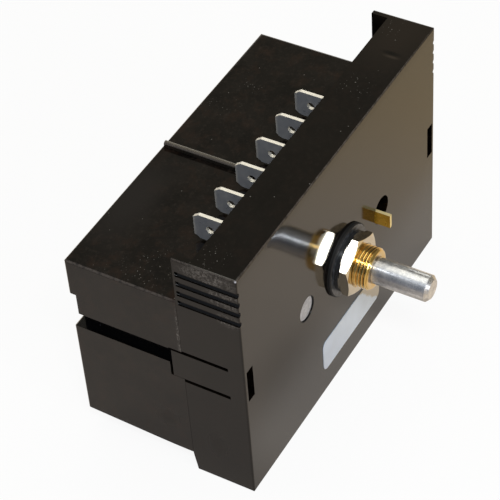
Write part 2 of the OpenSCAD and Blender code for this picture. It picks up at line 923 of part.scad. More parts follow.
// One flat tab with two legs soldered in the board
module tab_terminal(i) {
    low = tab_z - tab_w / 2;
    high = tab_z + tab_w / 2;
    color(TIN)
        difference() {
            union() {
                bar(tab_x(i) - tab_t / 2, tab_x(i) + tab_t / 2)
                    polygon([
                        [board_y1, low], [tab_tip_y - tab_bevel_y, low],
                        [tab_tip_y, low + tab_bevel], [tab_tip_y, high - tab_bevel],
                        [tab_tip_y - tab_bevel_y, high], [board_y1, high]
                    ]);
                for (s = [-1, 1])
                    block(
                        [tab_x(i) - tab_t / 2, board_y - leg_out,
                            tab_z + s * tab_leg_gap / 2 - (s < 0 ? tab_leg : 0)],
                        [tab_x(i) + tab_t / 2, board_y1 + EPS,
                            tab_z + s * tab_leg_gap / 2 + (s > 0 ? tab_leg : 0)]
                    );
            }
            translate([tab_x(i) - 1, tab_tip_y - tab_hole_in, tab_z])
                rotate([0, 90, 0])
                    cylinder(d = tab_hole_d, h = 2, $fn = 32);
        }
}

module tab_terminal_1() { tab_terminal(1); }
module tab_terminal_2() { tab_terminal(2); }
module tab_terminal_3() { tab_terminal(3); }
module tab_terminal_4() { tab_terminal(4); }
module tab_terminal_5() { tab_terminal(5); }
module tab_terminal_6() { tab_terminal(6); }

// Square trimmer on the board, in line with the calibration hole
module trimmer_body() {
    at = [-cal_x, cal_z];
    color([0.16, 0.3, 0.55])
        difference() {
            union() {
                block(
                    [at[0] - trim_w / 2, trim_y, at[1] - trim_w / 2],
                    [at[0] + trim_w / 2, board_y, at[1] + trim_w / 2]
                );
                leads_trim();
            }
            rod(at, trim_rotor_r + 0.05, trim_y - 1, trim_y + 1.5);
        }
}

module leads_trim() {
    for (p = trimmer_pins_at)
        rod(p, lead_r, board_y - EPS, board_y1 + lead_out);
}

// Rotor of the trimmer with its screwdriver slot
module trimmer_rotor() {
    at = [-cal_x, cal_z];
    top = trim_y - 0.6;
    color([0.9, 0.88, 0.82])
        difference() {
            rod(at, trim_rotor_r, top, trim_y + 1.45);
            block(
                [at[0] - trim_rotor_r - 1, top - 1, at[1] - trim_slot / 2],
                [at[0] + trim_rotor_r + 1, top + 0.8, at[1] + trim_slot / 2]
            );
        }
}

// Laminated core with two windows
module transformer_core() {
    z0 = core_z - core_w / 2;
    color([0.34, 0.34, 0.36])
        difference() {
            block([core_x, core_y, z0], [core_x + core_stack, core_y + core_h, z0 + core_w]);
            for (z = [z0 + core_limb, z0 + 4 * core_limb])
                block(
                    [core_x - 1, core_y + core_limb, z],
                    [core_x + core_stack + 1, core_y + core_h - core_limb, z + core_limb]
                );
        }
}

// Outline of the winding space in X and Z
module winding_outline(margin) {
    square(
        [2 * (bobbin_reach - margin), 2 * (2 * core_limb - core_play - margin)],
        center = true
    );
}

// Outline round the middle limb, larger by a margin all round
module limb_outline(margin) {
    square([core_stack + 2 * margin, 2 * core_limb + 2 * margin], center = true);
}

module around_core(y0, y1) {
    translate([core_mid_x, 0, core_z])
        slab(y0, y1)
            children();
}

// Tube, three flanges and six feet on the board
module transformer_bobbin() {
    y0 = core_y + core_limb + 0.1;
    y1 = core_y + core_h - core_limb - 0.1;
    mid = (y0 + y1) / 2;
    color([0.85, 0.83, 0.75])
        difference() {
            union() {
                around_core(y0, y1)
                    limb_outline(core_play / 2 + bobbin_t);
                for (y = [y0, mid - bobbin_t / 2, y1 - bobbin_t])
                    around_core(y, y + bobbin_t)
                        winding_outline(0);
                for (p = transformer_pins_at)
                    block(
                        [p[0] - bobbin_foot / 2, board_y1, p[1] - bobbin_foot / 2],
                        [p[0] + bobbin_foot / 2, y0 + bobbin_t, p[1] + bobbin_foot / 2]
                    );
            }
            around_core(y0 - 1, y1 + 1)
                limb_outline(core_play / 2);
            for (p = transformer_pins_at)
                rod(p, lead_r + 0.05, board_y1 - 1, board_y1 + 2.5);
        }
}

module winding(y0, y1, tint) {
    color(tint)
        around_core(y0, y1)
            difference() {
                winding_outline(winding_in);
                limb_outline(core_play / 2 + bobbin_t + winding_gap);
            }
}

module primary_winding() {
    y0 = core_y + core_limb + 0.1;
    y1 = core_y + core_h - core_limb - 0.1;
    winding(y0 + bobbin_t + 0.05, (y0 + y1) / 2 - bobbin_t / 2 - 0.05, COPPER);
}

module secondary_winding() {
    y0 = core_y + core_limb + 0.1;
    y1 = core_y + core_h - core_limb - 0.1;
    winding((y0 + y1) / 2 + bobbin_t / 2 + 0.05, y1 - bobbin_t - 0.05, [0.6, 0.26, 0.12]);
}

module transformer_pins() {
    color(TIN)
        leads(transformer_pins_at, board_y1 + 2.4);
}

// Base of the relay with the coil's two pins
module relay_base() {
    color(DARK) {
        difference() {
            translate([relay_x, 0, relay_z])
                slab(board_y1, relay_floor)
                    square([relay_w - 2 * relay_t - 0.2, relay_l - 2 * relay_t - 0.2], center = true);
            for (p = [relay_pins_at[2], relay_pins_at[3]])
                rod(p, lead_r + 0.05, board_y1 - 1, relay_floor + 1);
        }
        leads([relay_pins_at[0], relay_pins_at[1]], board_y1 + EPS);
    }
}

// Height inside the relay, counted from the board
function relay_level(h) = board_y1 + h;
armature_y = relay_level(pole_y + air_gap);
blade_y = armature_y + armature_t;

module relay_bobbin() {
    y0 = relay_level(coil_bobbin_y);
    y1 = relay_level(coil_bobbin_y1);
    rim_r = coil_r + 0.3;
    bore = coil_core_r + 0.05;
    color([0.85, 0.85, 0.8])
        turned([relay_x, relay_z + coil_dz])
            polygon([
                [bore, y0], [rim_r, y0], [rim_r, y0 + coil_flange_t],
                [coil_tube_r, y0 + coil_flange_t], [coil_tube_r, y1 - coil_flange_t],
                [rim_r, y1 - coil_flange_t], [rim_r, y1], [bore, y1]
            ]);
}

module relay_coil() {
    y0 = relay_level(coil_bobbin_y) + coil_flange_t + 0.05;
    y1 = relay_level(coil_bobbin_y1) - coil_flange_t - 0.05;
    inner = coil_tube_r + 0.05;
    color(COPPER)
        turned([relay_x, relay_z + coil_dz])
            polygon([[inner, y0], [coil_r, y0], [coil_r, y1], [inner, y1]]);
}

module relay_core() {
    color(STEEL)
        turned([relay_x, relay_z + coil_dz])
            polygon([
                [0, relay_floor + yoke_t + 0.05], [coil_core_r, relay_floor + yoke_t + 0.05],
                [coil_core_r, relay_level(coil_bobbin_y1 + 0.05)],
                [pole_r, relay_level(coil_bobbin_y1 + 0.05)],
                [pole_r, relay_level(pole_y)], [0, relay_level(pole_y)]
            ]);
}

// Bent frame: under the coil and up its side to the armature's edge
module relay_yoke() {
    foot_z0 = relay_z + coil_dz - coil_r + 0.5;
    foot_y1 = relay_floor + yoke_t;
    color(STEEL)
        bar(relay_x - frame_w / 2, relay_x + frame_w / 2)
            polygon([
                [relay_floor, foot_z0], [relay_floor, hinge_z],
                [armature_y - 0.1, hinge_z], [armature_y - 0.1, yoke_z],
                [foot_y1, yoke_z], [foot_y1, foot_z0]
            ]);
}

// Armature lifted off the pole; it turns about the yoke's top edge
module relay_armature() {
    color(STEEL)
        block(
            [relay_x - frame_w / 2, armature_y, relay_z - 3],
            [relay_x + frame_w / 2, armature_y + armature_t, hinge_z]
        );
}

// Leaf spring on the yoke that holds the armature's heel down
module relay_spring() {
    w = 5;
    out = hinge_z + 0.05;
    top = armature_y + armature_t + 0.1;
    color(BRASS)
        bar(relay_x - w / 2, relay_x + w / 2)
            polygon([
                [relay_level(5), out], [relay_level(5), out + spring_t], [top + spring_t, out + spring_t],
                [top + spring_t, hinge_z - 2.6], [top, hinge_z - 2.6], [top, out]
            ]);
}

// Spring blade on the armature with a contact on both faces
module moving_contact() {
    tip = contact_dz - contact_r - 0.2;
    color(BRASS)
        union() {
            block([relay_x - 2, blade_y, relay_z + tip], [relay_x + 2, blade_y + blade_t, relay_z + 3]);
            rod([relay_x, relay_z + contact_dz], contact_r, blade_y - contact_t, blade_y + EPS);
        }
}

// Contact below the blade, which closes when the armature is pulled in
module closing_contact() {
    top = blade_y - contact_t - contact_travel;
    z = relay_z + contact_dz;
    color(BRASS)
        union() {
            rod([relay_x, z], contact_r, top - contact_t, top);
            block([relay_x - 2, top - contact_t - 0.5, z - 1.5], [relay_x + 2, top - contact_t, z + 1.5]);
            block([relay_x - 2, relay_floor, z - 1.5], [relay_x + 2, top - contact_t - 0.4, z - 1]);
            rod(relay_pins_at[2], lead_r, board_y - lead_out, relay_floor + EPS);
            block([relay_x - 3.3, relay_floor, z - 1.5], [relay_x, relay_floor + 0.5, z - 0.8]);
        }
}

// Contact post beside the blade, which it rests against when the relay is off
module resting_contact() {
    y = blade_y + blade_t + 0.05;
    z = relay_z + contact_dz;
    post_x = relay_x + 3;
    color(BRASS)
        union() {
            block([relay_x - 1.5, y, z - 1.2], [post_x + 0.6, y + 0.5, z + 1.2]);
            block([post_x, relay_floor, z - 1.2], [post_x + 0.6, y + 0.2, z - 0.2]);
            rod(relay_pins_at[3], lead_r, board_y - lead_out, relay_floor + EPS);
        }
}

module relay_cover() {
    inner_w = relay_w - 2 * relay_t;
    inner_l = relay_l - 2 * relay_t;
    color([0.12, 0.2, 0.4])
        translate([relay_x, 0, relay_z])
            difference() {
                slab(board_y1, board_y1 + relay_h)
                    square([relay_w, relay_l], center = true);
                slab(board_y1 - 1, board_y1 + relay_h - relay_t)
                    square([inner_w, inner_l], center = true);
            }
}

// Electrolytic can with its crimped waist
module reservoir_capacitor() {
    r = cap_d / 2;
    y = board_y1;
    color([0.12, 0.14, 0.3]) {
        turned(cap_at)
            polygon([
                [0, y], [r - 0.3, y], [r, y + 0.5], [r, y + 1.8], [r - 0.5, y + 2.2], [r, y + 2.6],
                [r, y + cap_h - 0.5], [r - 0.5, y + cap_h], [0, y + cap_h]
            ]);
        leads(cap_pins_at, board_y1 + EPS);
    }
}

module film_capacitor() {
    color([0.8, 0.62, 0.18]) {
        block(
            [film_at[0] - film_w / 2, board_y1, film_at[1] - film_d / 2],
            [film_at[0] + film_w / 2, board_y1 + film_h, film_at[1] + film_d / 2]
        );
        leads(film_pins_at, board_y1 + EPS);
    }
}

// Eight-pin chip with a notch, standing off the board on its legs
module control_chip() {
    y0 = board_y1 + 0.6;
    leg_top = board_y1 + 1.8;
    color(DARK)
        difference() {
            block(
                [chip_at[0] - chip_l / 2, y0, chip_at[1] - chip_w / 2],
                [chip_at[0] + chip_l / 2, y0 + 3.2, chip_at[1] + chip_w / 2]
            );
            rod([chip_at[0] - chip_l / 2, chip_at[1]], 0.9, y0 + 2.4, y0 + 4);
        }
    color(TIN)
        for (p = chip_pins_at)
            rod(p, lead_r, board_y - lead_out, leg_top);
    color(TIN)
        for (p = chip_pins_at)
            block(
                [p[0] - 0.3, leg_top - 0.3, min(p[1], chip_at[1] + sign(p[1] - chip_at[1]) * chip_w / 2)],
                [p[0] + 0.3, leg_top, max(p[1], chip_at[1] + sign(p[1] - chip_at[1]) * chip_w / 2)]
            );
}

// An axial part lying on the board between two bent leads
module axial_part(at, span, r, length, lift) {
    translate([at[0] - length / 2, board_y1 + lift, at[1]])
        rotate([0, 90, 0])
            cylinder(r = r, h = length);
    translate([at[0] - span, board_y1 + lift, at[1]])
        rotate([0, 90, 0])
            cylinder(r = lead_r, h = 2 * span);
    for (s = [-1, 1])
        rod([at[0] + s * span, at[1]], lead_r, board_y - lead_out, board_y1 + lift);
}

module rectifier_diodes() {
    color(DARK)
        for (p = diodes_at)
            axial_part(p, diode_span, diode_r, 5, diode_r + 0.05);
}

module resistors() {
    color([0.78, 0.66, 0.45])
        for (p = resistors_at)
            axial_part(p, resistor_span, 1.15, 6, 1.2);
}

// Disc-shaped surge absorber on two leads
module varistor() {
    color([0.16, 0.32, 0.6]) {
        translate([varistor_at[0] - varistor_t / 2, board_y1 + varistor_r + 0.6, varistor_at[1]])
            rotate([0, 90, 0])
                cylinder(r = varistor_r, h = varistor_t);
        leads(varistor_pins_at, board_y1 + 2);
    }
}

front_housing();
rear_housing();
label();
calibration_plug();
control_shaft();
threaded_bushing();
hex_nut();
lock_washer();
panel_washer();
mounting_plate();
pot_can();
retaining_ring();
pot_rotor();
wiper();
element_wafer();
carbon_track();
pot_terminals();
circuit_board();
tab_terminal_1();
tab_terminal_2();
tab_terminal_3();
tab_terminal_4();
tab_terminal_5();
tab_terminal_6();
trimmer_body();
trimmer_rotor();
transformer_core();
transformer_bobbin();
primary_winding();
secondary_winding();
transformer_pins();
relay_base();
relay_bobbin();
relay_coil();
relay_core();
relay_yoke();
relay_armature();
relay_spring();
moving_contact();
closing_contact();
resting_contact();
relay_cover();
reservoir_capacitor();
film_capacitor();
control_chip();
rectifier_diodes();
resistors();
varistor();
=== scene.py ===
import math

import bmesh
import bpy
from mathutils import Matrix, Vector


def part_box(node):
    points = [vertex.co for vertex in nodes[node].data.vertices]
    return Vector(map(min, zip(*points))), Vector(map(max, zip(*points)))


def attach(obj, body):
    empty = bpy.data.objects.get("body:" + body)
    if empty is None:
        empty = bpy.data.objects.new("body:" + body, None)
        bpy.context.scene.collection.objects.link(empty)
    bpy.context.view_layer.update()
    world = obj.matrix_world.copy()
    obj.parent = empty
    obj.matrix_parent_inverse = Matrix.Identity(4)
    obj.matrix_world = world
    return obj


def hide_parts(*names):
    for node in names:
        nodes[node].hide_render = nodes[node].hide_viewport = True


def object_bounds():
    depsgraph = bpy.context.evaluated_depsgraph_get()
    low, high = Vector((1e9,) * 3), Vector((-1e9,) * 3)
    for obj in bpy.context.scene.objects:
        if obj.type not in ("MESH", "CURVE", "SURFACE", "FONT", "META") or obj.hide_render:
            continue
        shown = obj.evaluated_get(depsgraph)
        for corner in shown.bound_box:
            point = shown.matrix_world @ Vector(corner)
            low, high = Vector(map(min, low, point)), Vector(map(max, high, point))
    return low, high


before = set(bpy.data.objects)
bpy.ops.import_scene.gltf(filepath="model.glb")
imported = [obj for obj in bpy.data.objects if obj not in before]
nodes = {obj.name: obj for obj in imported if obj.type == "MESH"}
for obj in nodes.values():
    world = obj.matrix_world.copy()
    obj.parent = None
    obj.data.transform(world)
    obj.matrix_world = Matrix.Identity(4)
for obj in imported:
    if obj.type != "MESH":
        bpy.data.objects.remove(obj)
cad_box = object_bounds()
scene = bpy.context.scene
MM = 0.001


def mm(*values):
    """A point or size given in millimetres, in metres."""
    return Vector(values) * MM


class Tree:
    """A node tree, with short names for the nodes that the materials and the world need."""

    def __init__(self, tree):
        self.tree = tree

    def add(self, kind, **props):
        node = self.tree.nodes.new(kind)
        for key, value in props.items():
            setattr(node, key, value)
        return node

    def link(self, a, b):
        self.tree.links.new(a, b)

    def feed(self, value, socket):
        """Gives a socket a number, a colour or another node's output."""
        if isinstance(value, (int, float)):
            socket.default_value = value
        elif isinstance(value, tuple):
            socket.default_value = (*value, 1.0)
        else:
            self.link(value, socket)

    def ramp(self, value, lo, hi, out_lo=0.0, out_hi=1.0, smooth=False):
        """Maps lo to out_lo and hi to out_hi, and stays there beyond them."""
        node = self.add("ShaderNodeMapRange", clamp=True)
        if smooth:
            node.interpolation_type = "SMOOTHSTEP"
        for key, number in (("From Min", lo), ("From Max", hi), ("To Min", out_lo), ("To Max", out_hi)):
            node.inputs[key].default_value = number
        self.link(value, node.inputs["Value"])
        return node.outputs["Result"]

    def math(self, op, a, b):
        node = self.add("ShaderNodeMath", operation=op)
        self.feed(a, node.inputs[0])
        self.feed(b, node.inputs[1])
        return node.outputs[0]

    def product(self, *factors):
        result = factors[0]
        for factor in factors[1:]:
            result = self.math("MULTIPLY", result, factor)
        return result

    def total(self, *terms):
        result = terms[0]
        for term in terms[1:]:
            result = self.math("ADD", result, term)
        return result

    def mix(self, share, a, b):
        """Colour a where share is 0, and b where it is 1."""
        node = self.add("ShaderNodeMix", data_type="RGBA")
        self.feed(share, node.inputs[0])
        self.feed(a, node.inputs[6])
        self.feed(b, node.inputs[7])
        return node.outputs[2]

    def mix_shaders(self, share, a, b, out):
        """Joins two shader nodes and gives the result to the tree's output."""
        node = self.add("ShaderNodeMixShader")
        self.link(share, node.inputs[0])
        self.link(a.outputs[0], node.inputs[1])
        self.link(b.outputs[0], node.inputs[2])
        self.link(node.outputs[0], out.inputs["Surface"])

    def axis(self, vector, index):
        split = self.add("ShaderNodeSeparateXYZ")
        self.link(vector, split.inputs[0])
        return split.outputs[index]


class Shader(Tree):
    """A material with one Principled shader, whose patterns lie on the object in metres."""

    def __init__(self, name, **values):
        self.mat = bpy.data.materials.new(name)
        self.mat.use_nodes = True
        super().__init__(self.mat.node_tree)
        self.bsdf = self.tree.nodes["Principled BSDF"]
        for key, value in values.items():
            self.bsdf.inputs[key.replace("_", " ")].default_value = value
        self.coord = self.add("ShaderNodeTexCoord").outputs["Object"]

    def mapped(self, scale, place=(0, 0, 0)):
        node = self.add("ShaderNodeMapping")
        node.inputs["Scale"].default_value = scale
        node.inputs["Location"].default_value = place
        self.link(self.coord, node.inputs["Vector"])
        return node.outputs["Vector"]

    def noise(self, scale, detail, rough, vector=None):
        """Cloudy noise from 0 to 1, with scale cells to the metre."""
        node = self.add("ShaderNodeTexNoise")
        node.inputs["Scale"].default_value = scale
        node.inputs["Detail"].default_value = detail
        node.inputs["Roughness"].default_value = rough
        self.link(vector or self.coord, node.inputs["Vector"])
        return node.outputs["Fac"]

    def place(self, index):
        """One coordinate of the place on the object."""
        return self.axis(self.coord, index)

    def facing(self, index):
        """One component of the surface's normal."""
        return self.axis(self.add("ShaderNodeNewGeometry").outputs["Normal"], index)

    def blob(self, centre, reach, soft):
        """1 within an ellipsoid, given in millimetres, and 0 outside it, with a soft edge."""
        scale = [1 / (r * MM) for r in reach]
        vector = self.mapped(scale, [-c * MM * k for c, k in zip(centre, scale)])
        length = self.add("ShaderNodeVectorMath", operation="LENGTH")
        self.link(vector, length.inputs[0])
        return self.ramp(length.outputs["Value"], 1 - soft, 1.0, 1.0, 0.0, smooth=True)

    def blobs(self, places, soft):
        """The sum of several blobs, each given by its centre and reach."""
        return self.total(*[self.blob(centre, reach, soft) for centre, reach in places])

    def specks(self, spacing, radius, share, plane):
        """Scattered round grains on a plane: spacing and radius in millimetres, share of the places taken."""
        node = self.add("ShaderNodeTexVoronoi")
        node.inputs["Scale"].default_value = 1 / (spacing * MM)
        self.link(self.mapped(plane), node.inputs["Vector"])
        core = self.ramp(node.outputs["Distance"], 0.3 * radius / spacing, radius / spacing, 1.0, 0.0)
        pick = self.axis(node.outputs["Color"], 0)
        strength = self.ramp(pick, 1 - share, 1.0, 0.25, 1.0)
        taken = self.ramp(pick, 1 - share, 1 - share + 0.01)
        return self.product(core, strength, taken)

    def color(self, value):
        self.link(value, self.bsdf.inputs["Base Color"])

    def rough(self, value):
        self.link(value, self.bsdf.inputs["Roughness"])

    def relief(self, height):
        """Bends the light on the surface as a height given in metres would."""
        node = self.add("ShaderNodeBump")
        node.inputs["Strength"].default_value = 1.0
        node.inputs["Distance"].default_value = 1.0
        self.link(height, node.inputs["Height"])
        self.link(node.outputs["Normal"], self.bsdf.inputs["Normal"])


def use(mat, *names):
    """Gives the material to CAD nodes."""
    for name in names:
        nodes[name].data.materials.clear()
        nodes[name].data.materials.append(mat)


# Marks on the moulded plastic, the same on both housings, with painted shade in the grooves and painted
# highlights on the rib and the rounded edges
# painted highlight: the lighter colour of the rib's top
RIB_HIGHLIGHT = (0.12, 0.105, 0.082)
FLECK = (0.030, 0.023, 0.018)
# the rounded top edges' lighter colour, partly rubbed wear and partly a painted highlight
EDGE_WEAR_AND_HIGHLIGHT = (0.074, 0.062, 0.053)
DUST = (0.26, 0.24, 0.22)
# painted shade: the near-black colour inside the grooves
GROOVE_SHADE = (0.0006, 0.0006, 0.0008)
GROOVE_DUST = (0.12, 0.12, 0.15)
EDGE_FROM, EDGE_FULL = 19.0 * MM, 19.4 * MM
GLOSS = 0.04
RIPPLE = 1.2e-6
ON_TOP, ON_SIDE = (1, 1, 0), (0, 1, 1)


def moulded(s, tints, top_dust, side_dust, smudges, patches_and_painted_light, dark, lit_top=None, haze=0.0, mottle=0.5):
    """Glossy moulded plastic: cloudy brown-black with dust, smudges and faint ripples, painted shade in the
    grooves, and painted highlights on the rounded top edges, which also stand for rubbed wear.

    tints are the base, a lighter and a warmer colour. Dust and smudges have a centre and a reach, and the listed
    patches, some of them real marks and some painted highlights, shade or reflections, a colour before them, in
    millimetres. dark is the mask of the grooves, painted near-black as shade, and the mask after it marks a top
    painted lighter as a highlight. haze dulls the face that looks along -Y, and mottle is the strength of the
    flecks. The ripples' height is returned.
    """
    base, light, warm = tints
    color = s.mix(s.ramp(s.noise(110.0, 5.0, 0.7), 0.38, 0.72), base, light)
    shifted = s.mapped((1, 1, 1), (0.3, 0.1, 0.2))
    color = s.mix(s.ramp(s.noise(260.0, 4.0, 0.65, shifted), 0.5, 0.74), color, warm)
    # painted highlight: the rib's top, under its mask, is made lighter
    if lit_top:
        color = s.mix(lit_top, color, RIB_HIGHLIGHT)
    flecks = s.ramp(s.noise(850.0, 4.0, 0.75), 0.52, 0.72)
    color = s.mix(s.product(flecks, mottle), color, FLECK)
    # the rounded top edges painted lighter, partly as rubbed wear and partly as a painted highlight
    edge = s.product(s.ramp(s.facing(2), 0.2, 0.5), s.ramp(s.facing(2), 0.97, 0.85),
                     s.ramp(s.place(2), EDGE_FROM, EDGE_FULL))
    color = s.mix(s.product(edge, s.ramp(s.noise(700.0, 3.0, 0.7), 0.25, 0.55)), color, EDGE_WEAR_AND_HIGHLIGHT)
    # patches of colour, some real marks and some painted highlights, shade or reflections
    for tint, centre, reach in patches_and_painted_light:
        color = s.mix(s.blob(centre, reach, 0.9), color, tint)

    up = s.ramp(s.facing(2), 0.6, 0.9)
    heaps = s.math("MINIMUM", s.blobs(top_dust, 0.9), 1.0)
    grains = s.total(s.product(s.specks(2.1, 0.17, 0.35, ON_TOP), 0.7),
                     s.product(s.specks(0.6, 0.13, 0.55, ON_TOP), heaps))
    dust = s.product(up, grains)
    side = s.ramp(s.math("ABSOLUTE", s.facing(0), 0.0), 0.6, 0.9)
    patch = s.math("MINIMUM", s.blobs(side_dust, 0.6), 1.0)
    film = s.product(patch, s.ramp(s.noise(1800.0, 2.0, 0.7), 0.42, 0.7), 0.55)
    grains = s.total(s.product(s.specks(4.5, 0.14, 0.30, ON_SIDE), 0.5), film)
    dust = s.math("MINIMUM", s.total(dust, s.product(side, grains)), 1.0)
    color = s.mix(dust, color, DUST)

    wipe = s.ramp(s.noise(1.0, 3.0, 0.6, s.mapped((70, 50, 210))), 0.45, 0.8, 0.0, 0.05)
    rough = s.total(GLOSS, wipe, s.product(s.blobs(smudges, 0.9), 0.35), s.product(dust, 0.5),
                    s.product(s.ramp(s.facing(1), -0.8, -0.95), haze), s.product(dark, 0.12))
    # painted shade: the grooves take a near-black colour
    color = s.mix(dark, color, GROOVE_SHADE)
    color = s.mix(s.product(dark, s.specks(1.3, 0.15, 0.3, ON_SIDE), 0.8), color, GROOVE_DUST)
    s.color(color)
    s.rough(rough)
    return s.product(s.noise(350.0, 2.0, 0.5), RIPPLE)


def metal(name, color, tint, rough, grain, depth, aniso=0.0, spread=(0.8, 1.25), film=0.0, under=None,
          blots=260.0):
    """Bare metal with a grain stretched along one axis, whose depth is in millimetres.

    The gloss varies with the grain by spread. aniso stretches highlights round the Y axis, film is the
    weight of a clear coat, under the colour of what faces down, painted as shade, and blots the scale of the
    cloudy tint.
    """
    s = Shader(name, Metallic=1.0, Anisotropic=aniso, Coat_Weight=film, Coat_Roughness=0.04)
    streak = s.noise(1.0, 3.0, 0.6, s.mapped(grain))
    shade = s.mix(s.ramp(s.noise(blots, 3.0, 0.6), 0.35, 0.75), color, tint)
    # painted shade: what faces down takes the darker under colour
    s.color(s.mix(s.ramp(s.facing(2), -0.05, -0.55), shade, under) if under else shade)
    s.rough(s.ramp(streak, 0.3, 0.7, rough * spread[0], rough * spread[1]))
    s.relief(s.product(streak, depth * MM))
    if aniso:
        s.bsdf.inputs["Anisotropic Rotation"].default_value = 0.25
        tangent = s.add("ShaderNodeTangent", direction_type="RADIAL", axis="Y")
        s.link(tangent.outputs[0], s.bsdf.inputs["Tangent"])
    return s.mat


def plain(name, color, tint, rough, scale=300.0):
    """Paint, lacquer or plastic with a slight mottle."""
    s = Shader(name)
    cloud = s.noise(scale, 3.0, 0.6)
    s.color(s.mix(s.ramp(cloud, 0.35, 0.7), color, tint))
    s.rough(s.ramp(cloud, 0.3, 0.75, rough * 0.85, rough * 1.2))
    s.relief(s.product(s.noise(scale * 4, 2.0, 0.5), 1e-6))
    return s.mat


def front_plastic():
    """The front housing: grip grooves in the end walls, painted near-black as shade, and light that curls under
    the top edge.
    """
    s = Shader("front_plastic", IOR=1.5)
    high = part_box("front_housing")[1]
    reach = s.math("ABSOLUTE", s.place(0), 0.0)
    # painted shade: the mask of the grip grooves, which are coloured near-black
    grooves = s.product(
        s.ramp(reach, high.x - 0.05 * MM, high.x - 0.25 * MM),
        s.ramp(reach, high.x - 1.1 * MM, high.x - 0.9 * MM),
        s.ramp(s.place(2), 19.1 * MM, 19.3 * MM), s.ramp(s.place(2), 28.8 * MM, 28.6 * MM),
        s.ramp(s.facing(1), -0.9, -0.5),
    )
    ripple = moulded(
        s, [(0.0016, 0.0010, 0.0006), (0.0050, 0.0036, 0.0026), (0.0070, 0.0038, 0.0024)],
        top_dust=[((-39, 7, 32), (5, 5, 3)), ((18, 6, 32), (6, 5, 3)), ((39, 8, 32), (4, 3, 3))],
        side_dust=[((-43, 6.5, 30), (2, 8, 2.6)), ((-43, 3, 25.5), (2, 6, 3.2)), ((-43, 2.5, 20), (2, 4, 2.2))],
        smudges=[((-43, 8, -20), (2, 5, 8))],
        patches_and_painted_light=[
            ((0.014, 0.0098, 0.0068), (40, 6, 32), (22, 12, 4)),  # the hood's browner end
            ((0.030, 0.022, 0.016), (29.9, 3.8, 32), (0.7, 2.6, 1)),  # painted highlight on the gate mark's lit side
            ((0.0006, 0.0004, 0.0003), (31, 4.4, 32), (1.0, 3.2, 1)),  # painted shade on the gate mark's dark side
            ((0.5, 0.5, 0.55), (-42.9, 0.2, 31.8), (0.35, 0.4, 0.35)),  # painted highlight on the near top corner
            ((0.12, 0.12, 0.12), (-10.2, 0.0, 31.95), (0.8, 0.2, 0.2)),  # a light grey spot on the top edge
        ],
        dark=grooves, haze=0.05, mottle=0.15,
    )
    edge = s.ramp(s.place(2), high.z - 2.6 * MM, high.z)
    curl = s.product(edge, edge, -0.055 * MM)
    s.relief(s.total(ripple, curl))
    return s.mat


def rear_plastic():
    """The rear housing: a belt groove at the near end, painted near-black as shade, and a rib and rear edges on
    top, painted lighter, the rib as a highlight and the edges as rubbed wear and highlight.
    """
    s = Shader("rear_plastic", IOR=1.5)
    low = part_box("rear_housing")[0]
    # painted shade: the mask of the belt groove, which is coloured near-black
    belt = s.product(
        s.ramp(s.place(0), low.x + 0.05 * MM, low.x + 0.2 * MM), s.ramp(s.place(1), 17.2 * MM, 17.6 * MM),
        s.ramp(s.place(2), 1.0 * MM, 1.1 * MM), s.ramp(s.place(2), 5.4 * MM, 5.3 * MM),
    )
    # painted highlight: the mask of the rib's top, stronger the more it faces up
    rib = s.product(
        s.ramp(s.place(2), 20.15 * MM, 20.3 * MM), s.ramp(s.place(1), 11.5 * MM, 12.0 * MM),
        s.ramp(s.facing(2), 0.2, 0.7, 0.1, 1.0),
    )
    ripple = moulded(
        s, [(0.0012, 0.0008, 0.0005), (0.0100, 0.0078, 0.0062), (0.0170, 0.0088, 0.0055)],
        top_dust=[((-37.5, 24, 20), (9, 8, 3)), ((-41.7, 33, 20), (3, 3, 3)), ((13, 36, 20), (5, 5, 3)),
                  ((21, 33.5, 20), (4, 4, 3))],
        side_dust=[((-43, 14.9, 9), (2, 0.5, 11))],
        smudges=[((-43, 20, -17), (2, 6, 6))],
        patches_and_painted_light=[
            ((0.026, 0.009, 0.004), (-39, 14.8, 20), (6, 3, 3)),  # painted reflection: a warm red-brown tone on the top near the corner
            ((0.014, 0.012, 0.011), (-22, 38, 20), (20, 9, 4)),  # the paler top at the back
        ],
        dark=belt, lit_top=rib,
    )
    s.relief(ripple)
    return s.mat


def washer_steel():
    """Blackened washer: rubbed grey on the face that shows, and painted shade, near-black, round the rim and
    behind.
    """
    s = Shader("blackened_washer", IOR=1.5)
    front = s.ramp(s.facing(1), -0.7, -0.9)
    cloud = s.ramp(s.noise(900.0, 5.0, 0.75), 0.45, 0.68)
    rubbed = s.mix(cloud, (0.006, 0.008, 0.011), (0.11, 0.12, 0.14))
    # painted shade: the rim and back are near-black; the face that shows is rubbed grey
    s.color(s.mix(front, (0.0015, 0.0015, 0.002), rubbed))
    s.rough(s.ramp(front, 0.0, 1.0, 0.7, 0.28))
    s.relief(s.product(s.noise(900.0, 3.0, 0.6), 4e-6))
    return s.mat


TIP_FROM, TIP_FULL = 19.6 * MM, 20.1 * MM


